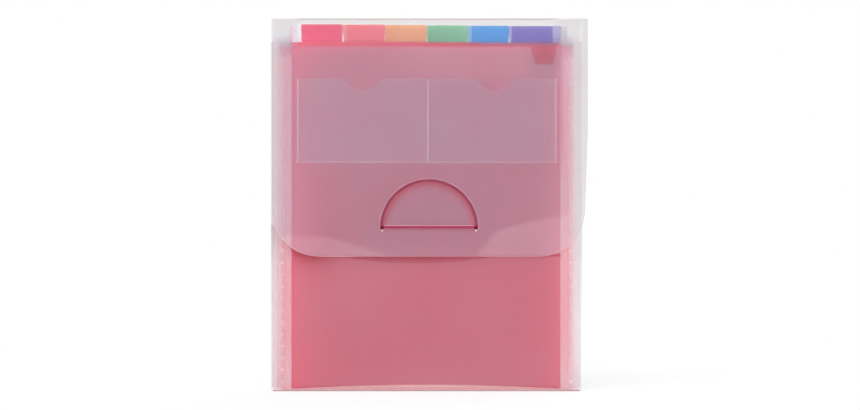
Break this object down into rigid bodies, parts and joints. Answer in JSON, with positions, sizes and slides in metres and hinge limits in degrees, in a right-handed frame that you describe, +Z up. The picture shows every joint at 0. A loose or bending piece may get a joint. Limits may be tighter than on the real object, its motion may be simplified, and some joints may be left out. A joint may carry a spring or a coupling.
{
  "type": "vertical expanding file folder",
  "caption": "Upright expanding file of frosted plastic sheet: coloured index dividers on pleated sides, card pockets on the front, and a hinged flap latched by a half-moon tongue.",
  "frame": {"origin": "middle of the bottom panel's underside", "axes": "+Z up along the height, +Y from the front panel to the back panel, +X to the right seen from the front"},
  "size_m": [0.265, 0.0371, 0.313],
  "materials": {
    "frosted_sheet": "frosted, translucent",
    "clear_film": "lightly frosted, translucent",
    "red_sheet": "satin, tinted translucent",
    "coral_sheet": "satin, tinted translucent",
    "orange_sheet": "satin, tinted translucent",
    "green_sheet": "satin, tinted translucent",
    "blue_sheet": "satin, tinted translucent",
    "purple_sheet": "satin, tinted translucent"
  },
  "bodies": {
    "back": {"cover_back": "frosted_sheet", "cover_bottom": "frosted_sheet", "pleat_left_7": "clear_film", "pleat_right_7": "clear_film"},
    "divider_6": {"divider_6": "purple_sheet", "pleat_left_6": "clear_film", "pleat_right_6": "clear_film"},
    "divider_5": {"divider_5": "blue_sheet", "pleat_left_5": "clear_film", "pleat_right_5": "clear_film"},
    "divider_4": {"divider_4": "green_sheet", "pleat_left_4": "clear_film", "pleat_right_4": "clear_film"},
    "divider_3": {"divider_3": "orange_sheet", "pleat_left_3": "clear_film", "pleat_right_3": "clear_film"},
    "divider_2": {"divider_2": "coral_sheet", "pleat_left_2": "clear_film", "pleat_right_2": "clear_film"},
    "divider_1": {"divider_1": "red_sheet", "pleat_left_1": "clear_film", "pleat_right_1": "clear_film"},
    "front": {"cover_front": "frosted_sheet", "card_pockets": "clear_film"},
    "spine": {"top_spine": "frosted_sheet"},
    "flap": {"flap": "frosted_sheet"},
    "tongue": {"lock_tongue": "frosted_sheet"}
  },
  "joints": [
    {"name": "flap_open", "type": "hinge", "parent": "back", "child": "spine", "pos_m": [0, 0.0178, 0.313], "axis": [-1, 0, 0], "range_deg": [0, 255]},
    {"name": "flap_fold", "type": "hinge", "parent": "spine", "child": "flap", "pos_m": [0, -0.0193, 0.313], "axis": [-1, 0, 0], "range_deg": [0, 90.01]},
    {"name": "tongue_spring", "type": "hinge", "parent": "flap", "child": "tongue", "pos_m": [0, -0.019, 0.1362], "axis": [1, 0, 0], "range_deg": [0, 3.41], "deforming": ["lock_tongue"]},
    {"name": "fan_7", "type": "hinge", "parent": "back", "child": "divider_6", "pos_m": [0, -0.0175, 0.00075], "axis": [1, 0, 0], "range_deg": [0, 2.86], "deforming": ["pleat_left_7", "pleat_right_7"]},
    {"name": "fan_6", "type": "hinge", "parent": "divider_6", "child": "divider_5", "pos_m": [0, -0.0175, 0.00075], "axis": [1, 0, 0], "range_deg": [0, 2.86], "deforming": ["pleat_left_6", "pleat_right_6"]},
    {"name": "fan_5", "type": "hinge", "parent": "divider_5", "child": "divider_4", "pos_m": [0, -0.0175, 0.00075], "axis": [1, 0, 0], "range_deg": [0, 2.86], "deforming": ["pleat_left_5", "pleat_right_5"]},
    {"name": "fan_4", "type": "hinge", "parent": "divider_4", "child": "divider_3", "pos_m": [0, -0.0175, 0.00075], "axis": [1, 0, 0], "range_deg": [0, 2.86], "deforming": ["pleat_left_4", "pleat_right_4"]},
    {"name": "fan_3", "type": "hinge", "parent": "divider_3", "child": "divider_2", "pos_m": [0, -0.0175, 0.00075], "axis": [1, 0, 0], "range_deg": [0, 2.86], "deforming": ["pleat_left_3", "pleat_right_3"]},
    {"name": "fan_2", "type": "hinge", "parent": "divider_2", "child": "divider_1", "pos_m": [0, -0.0175, 0.00075], "axis": [1, 0, 0], "range_deg": [0, 2.86], "deforming": ["pleat_left_2", "pleat_right_2"]},
    {"name": "fan_1", "type": "hinge", "parent": "divider_1", "child": "front", "pos_m": [0, -0.0175, 0.00075], "axis": [1, 0, 0], "range_deg": [0, 2.86], "deforming": ["pleat_left_1", "pleat_right_1"]}
  ],
  "couplings": [
    {"joint": "flap_fold", "follows": "flap_open", "ratio": 0.35294},
    {"joint": "tongue_spring", "follows": "flap_open", "ratio": 0.013333},
    {"joint": "fan_7", "follows": "flap_open", "ratio": 0.011204},
    {"joint": "fan_6", "follows": "flap_open", "ratio": 0.011204},
    {"joint": "fan_5", "follows": "flap_open", "ratio": 0.011204},
    {"joint": "fan_4", "follows": "flap_open", "ratio": 0.011204},
    {"joint": "fan_3", "follows": "flap_open", "ratio": 0.011204},
    {"joint": "fan_2", "follows": "flap_open", "ratio": 0.011204},
    {"joint": "fan_1", "follows": "flap_open", "ratio": 0.011204}
  ]
}
